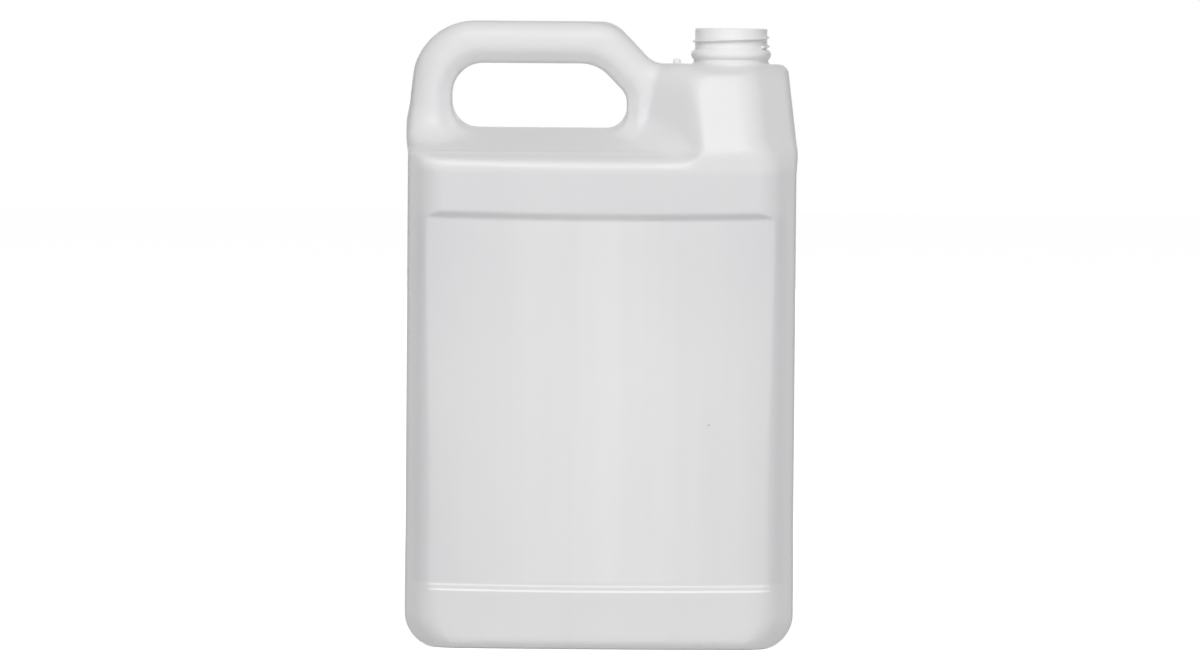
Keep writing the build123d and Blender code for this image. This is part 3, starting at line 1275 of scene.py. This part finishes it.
@dataclass(frozen=True)
class NaturalPolyethylene:
    """Unpigmented polyethylene: milky and a little waxy, with painted light and painted shade mixed into
    its colour.

    The shares say how far each place goes from the grey tone towards the pale one, painted light and shade
    included, or how strongly a colour covers.
    """

    name: str = "natural_polyethylene"
    # the pale and the grey tone: their mix gives the milky colour and also the painted light and painted
    # shade
    pale_and_painted_light: Colour = (0.86, 0.86, 0.864, 1.0)
    grey_and_painted_shade: Colour = (0.66, 0.66, 0.676, 1.0)
    finish: Colour = (0.89, 0.89, 0.895, 1.0)
    # colour of the painted highlights along the panel's steps
    highlight_white: Colour = (0.97, 0.97, 0.97, 1.0)
    grime: Colour = (0.30, 0.29, 0.28, 1.0)
    ior: float = 1.5
    specular: float = 0.25
    roughness: float = 0.40
    face_y: Span = (34.0, 42.0)
    panel_low: float = 3.0
    panel_high: float = 6.0
    wall_share: float = 0.57
    # painted light on the middle of the label panel, and painted shade falling off towards its sides and
    # corners
    panel_painted_light: float = 0.28
    panel_painted_shade: float = 0.30
    panel_far_painted_shade: float = 0.18
    # painted shade over the upper part of the front and the back, strongest from z 215 to just under the
    # shoulder
    shade_share: float = 0.21
    shade_z: Span = (120.0, 215.0)
    shade_end_z: Span = (229.0, 225.0)
    # painted light on the tower's leaning front
    tower_painted_light: float = 0.2
    tower_light_low_z: Span = (233.0, 240.0)
    tower_light_high_z: Span = (277.0, 269.0)
    tower_light_x: Span = (38.0, 46.0)
    # painted highlight along the shoulder's rim on the front and the back
    rim_painted_highlight: float = 0.36
    rim_highlight_half: float = 3.5
    rim_highlight_end_x: Span = (46.0, 38.0)
    streaks: Cloud = Cloud((85.0, 85.0, 3.0), 3.0)
    streak_share: float = 0.1
    panel_streak_share: float = 0.22
    bands: Cloud = Cloud((22.0, 22.0, 9.0), 2.0)
    band_share: float = 0.2
    # painted highlights along the two steps below the label panel
    step_highlight_share: float = 0.9
    step_highlight_half: float = 0.8
    upper_step_highlight_share: float = 0.55
    step_highlight_end: float = 2.0
    neck_z: Span = (278.4, 280.6)
    neck_x: Span = (28.0, 30.0)
    neck_share: float = 0.8
    grain: Cloud = Cloud((900.0, 900.0, 900.0), 3.0)
    speck_at: Corner = (51.4, 107.4)
    speck_edge: Span = (0.75, 0.25)
    speck_ragged: float = 0.5
    speck_share: float = 0.55
    front_y: Span = (-30.0, -40.0)
    fine_gloss: float = 0.08
    streak_gloss: float = 0.06
    fine_relief: float = 0.014
    panel_relief: float = 0.02
    streak_relief: float = 0.03
    parting_relief: float = 0.12
    parting_y: Span = (0.42, 0.1)

    def material(self, panel: LabelPanel, body: Body) -> bpy.types.Material:
        """Builds the material.

        Args:
            panel: The label panel, where painted light and painted shade are laid.
            body: The body, for the height of its shoulder.

        Returns:
            The material.
        """
        made = bpy.data.materials.new(self.name)
        made.use_nodes = True
        tree = made.node_tree
        shader = tree.nodes["Principled BSDF"]
        shader.inputs["IOR"].default_value = self.ior
        shader.inputs["Specular IOR Level"].default_value = self.specular
        at = self.ground(tree, panel)
        colour = self.colour(tree, at, self.share(at, body), self.painted_step_highlights(at, panel))
        rough = self.roughness + (at.fine - 0.5) * self.fine_gloss + (at.streaks - 0.5) * self.streak_gloss
        relief = node(tree, "ShaderNodeBump", {},
                      {"Strength": 1.0, "Distance": MM, "Height": self.height(at)}, "Normal")
        for link, name in ((colour, "Base Color"), (rough, "Roughness"), (relief, "Normal")):
            tree.links.new(link.socket, shader.inputs[name])
        return made

    def ground(self, tree: bpy.types.NodeTree, panel: LabelPanel) -> Ground:
        """Reads the place on the skin and the noises there.

        Args:
            tree: The material's tree.
            panel: The label panel, for its edges.

        Returns:
            The place and the noises.
        """
        place_of = node(tree, "ShaderNodeTexCoord", {}, {}, "Object")
        x, y, z = (node(tree, "ShaderNodeSeparateXYZ", {}, {0: place_of}, axis) * (1.0 / MM)
                   for axis in "XYZ")
        low = (panel.mid_z, panel.mid_z + self.panel_low)
        high = (panel.high_z, panel.high_z - self.panel_high)
        clouds = (self.streaks, self.bands, self.grain)
        streaks, bands, fine = (cloud.build(tree, place_of) for cloud in clouds)
        off = x.size() * (1.0 / panel.half_width)
        face, label = y.size().rise(self.face_y), z.rise(low) * z.rise(high)
        return Ground(x, y, z, off, off.power(2.0), face, label, streaks, bands, fine)

    def share(self, at: Ground, body: Body) -> Link:
        """How far each place goes towards the pale tone, painted light and painted shade included, with
        streaks and bands.

        Args:
            at: The place and the noises there.
            body: The body, for the height of its shoulder.

        Returns:
            The share, from 0 to 1.
        """
        label = at.face * at.panel
        # painted shade towards the panel's sides and corners, under painted light at its middle
        fall = self.panel_painted_shade * at.off + self.panel_far_painted_shade * at.across * at.across
        share = self.wall_share + label * (self.panel_painted_light - fall)
        # painted shade on the upper front and back
        shade = at.face * at.z.rise(self.shade_z) * at.z.rise(self.shade_end_z)
        # painted light on the tower's leaning front
        tower = at.z.rise(self.tower_light_low_z) * at.z.rise(self.tower_light_high_z) * at.x.rise(self.tower_light_x)
        # painted highlight along the shoulder's rim
        rim = at.z.line(body.shoulder_z, self.rim_highlight_half) * at.face * at.x.rise(self.rim_highlight_end_x)
        share = share - shade * self.shade_share + tower * self.tower_painted_light + rim * self.rim_painted_highlight
        streaky = self.streak_share + label * (1.0 - at.across) * self.panel_streak_share
        return share + (at.streaks - 0.5) * streaky + (at.bands - 0.5) * self.band_share

    def painted_step_highlights(self, at: Ground, panel: LabelPanel) -> Link:
        """Painted highlights: two bright lines along the steps below the label panel.

        Args:
            at: The place and the noises there.
            panel: The label panel, for its steps.

        Returns:
            How strong the painted highlights are.
        """
        bent = at.z + panel.low_dip - at.across * panel.low_dip
        half = panel.step_height / 2
        upper = bent.line(panel.mid_z + half, self.step_highlight_half) * self.upper_step_highlight_share
        lines = upper + bent.line(panel.low_z + half, self.step_highlight_half)
        return lines * at.face * at.x.size().rise((panel.half_width, panel.half_width - self.step_highlight_end))

    def colour(self, tree: bpy.types.NodeTree, at: Ground, share: Link, lines: Link) -> Link:
        """Lays the colours over each other, with one speck of grime on the front panel.

        Args:
            tree: The material's tree.
            at: The place and the noises there.
            share: How far each place goes towards the pale tone, painted light and painted shade included.
            lines: How strong the painted highlights along the steps are.

        Returns:
            The colour.
        """
        neck = at.z.rise(self.neck_z) * at.x.rise(self.neck_x)
        away = ((at.x - self.speck_at[0]).power(2.0) + (at.z - self.speck_at[1]).power(2.0)).power(0.5)
        speck = (away + (at.fine - 0.5) * self.speck_ragged).rise(self.speck_edge) * at.y.rise(self.front_y)
        made = self.blend(tree, share, self.grey_and_painted_shade, self.pale_and_painted_light)
        # painted highlights along the steps
        made = self.blend(tree, lines * self.step_highlight_share, made, self.highlight_white)
        made = self.blend(tree, neck * self.neck_share, made, self.finish)
        return self.blend(tree, speck * self.speck_share, made, self.grime)

    def height(self, at: Ground) -> Link:
        """Relief of the skin in millimetres: a fine grain, streaks and the parting line.

        Args:
            at: The place and the noises there.

        Returns:
            The height.
        """
        grain = self.fine_relief + at.face * at.panel * (1.0 - at.across) * self.panel_relief
        parting = at.y.size().rise(self.parting_y)
        return at.fine * grain + at.streaks * self.streak_relief + parting * self.parting_relief

    def blend(self, tree: bpy.types.NodeTree, share: Link, low: Link | Colour, high: Link | Colour) -> Link:
        """Mixes two colours."""
        return node(tree, "ShaderNodeMix", {"data_type": "RGBA"}, {0: share, 6: low, 7: high}, 2)


@dataclass(frozen=True)
class SoftBox:
    """A rectangular lamp: its place, its aim and its size in metres, and its power in watts."""

    name: str
    at: Point
    aim: Point
    width: float
    height: float
    power: float

    def build(self) -> None:
        """Adds the lamp to the scene."""
        lamp = bpy.data.lights.new(self.name, "AREA")
        lamp.shape, lamp.size, lamp.size_y, lamp.energy = "RECTANGLE", self.width, self.height, self.power
        thing = bpy.data.objects.new(self.name, lamp)
        bpy.context.scene.collection.objects.link(thing)
        thing.location = self.at
        thing.rotation_euler = (Vector(self.aim) - Vector(self.at)).to_track_quat("-Z", "Y").to_euler()


@dataclass
class Studio:
    """Floor, backdrop, lamps and the camera."""

    width_mm: float = 576.0
    distance_mm: float = 3000.0
    eye_mm: float = 310.0
    aim_mm: Point = (-0.3, 0.0, 147.4)
    yaw: float = -0.25
    roll: float = 0.45
    sensor_mm: float = 36.0
    furthest: float = 50.0
    fill: float = 0.20
    open_side: Span = (0.75, 0.35)
    open_height: Span = (0.5, 0.15)
    floor_half: float = 6.0
    floor_paint: Colour = (0.8, 0.8, 0.8, 1.0)
    floor_glow: float = 0.82
    boxes: tuple[SoftBox, ...] = (
        SoftBox("front", (0.0, -3.4, 0.8), (0.0, 0.0, 0.15), 4.0, 3.0, 46.0),
        SoftBox("above", (0.0, -1.38, 1.65), (0.0, 0.0, 0.2), 1.2, 0.6, 20.0),
        SoftBox("behind", (0.0, 3.4, 1.0), (0.0, 0.0, 0.15), 4.0, 2.4, 18.0),
    )

    def build(self) -> None:
        """Sets the whole studio up."""
        self.world()
        self.floor()
        for box in self.boxes:
            box.build()
        self.camera()

    def rays(self, tree: bpy.types.NodeTree) -> tuple[Link, Link, Link]:
        """Says which kind of ray asks for a colour.

        Args:
            tree: Tree of the world or a material.

        Returns:
            1 for a ray from the camera, from a gloss and through glass.
        """
        ray = tree.nodes.new("ShaderNodeLightPath")
        names = ("Is Camera Ray", "Is Glossy Ray", "Is Transmission Ray")
        camera, gloss, glass = (Link(tree, ray.outputs[name]) for name in names)
        return camera, gloss, glass

    def world(self) -> None:
        """White for the camera, and for gloss only near the horizon; softer for the light on the jug."""
        world = bpy.data.worlds.new("studio")
        bpy.context.scene.world = world
        world.use_nodes = True
        tree = world.node_tree
        tree.nodes.clear()
        way = node(tree, "ShaderNodeTexCoord", {}, {}, "Generated")
        side, up = (node(tree, "ShaderNodeSeparateXYZ", {}, {0: way}, axis) for axis in ("X", "Z"))
        open_wall = side.size().rise(self.open_side) * up.rise(self.open_height)
        camera, gloss, glass = self.rays(tree)
        seen = camera.larger(glass).larger(gloss * open_wall)
        strength = self.fill + seen * (1.0 - self.fill)
        both = node(tree, "ShaderNodeBackground", {}, {"Color": WHITE, "Strength": strength})
        out = tree.nodes.new("ShaderNodeOutputWorld")
        tree.links.new(both.socket, out.inputs["Surface"])

    def floor(self) -> None:
        """A wide pale floor that shows white around the jug and keeps its shadow."""
        size = self.floor_half / MM
        corners = np.array([(-size, -size, 0.0), (size, -size, 0.0), (size, size, 0.0), (-size, size, 0.0)])
        floor = place("floor", mesh_from("floor", corners, [(0, 1, 2, 3)]))
        made = bpy.data.materials.new("floor_white")
        made.use_nodes = True
        tree = made.node_tree
        tree.nodes.clear()
        camera, gloss, glass = self.rays(tree)
        seen = camera.larger(gloss).larger(glass)
        paint = node(tree, "ShaderNodeBsdfDiffuse", {}, {"Color": self.floor_paint})
        glow = node(tree, "ShaderNodeEmission", {}, {"Color": WHITE, "Strength": seen * self.floor_glow})
        both = node(tree, "ShaderNodeAddShader", {}, {0: paint, 1: glow})
        out = tree.nodes.new("ShaderNodeOutputMaterial")
        tree.links.new(both.socket, out.inputs["Surface"])
        floor.data.materials.append(made)

    def camera(self) -> None:
        """A long lens at the height of the handle, turned as the photograph is."""
        lens = bpy.data.cameras.new("camera")
        lens.sensor_width = self.sensor_mm
        lens.lens = self.sensor_mm * self.distance_mm / self.width_mm
        lens.clip_end = self.furthest
        eye = bpy.data.objects.new("camera", lens)
        bpy.context.scene.collection.objects.link(eye)
        aim = Vector(self.aim_mm) * MM
        turn, away = math.radians(self.yaw), self.distance_mm * MM
        at = Vector((aim.x + math.sin(turn) * away, -math.cos(turn) * away, self.eye_mm * MM))
        look = (aim - at).to_track_quat("-Z", "Y").to_matrix().to_4x4()
        roll = Matrix.Rotation(math.radians(self.roll), 4, "Z")
        eye.matrix_world = Matrix.Translation(at) @ look @ roll
        bpy.context.scene.camera = eye


def main() -> None:
    """Loads the frame, dresses it and reports each piece."""
    logging.basicConfig(level=logging.INFO, format="%(name)s: %(message)s")
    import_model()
    bpy.context.scene.view_settings.view_transform = "Standard"
    skin = Skin()
    jug = Jug(skin, NaturalPolyethylene().material(skin.panel, skin.body)).build()
    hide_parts("jug")
    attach(jug, "root")
    Studio().build()


if __name__ == "__main__":
    main()
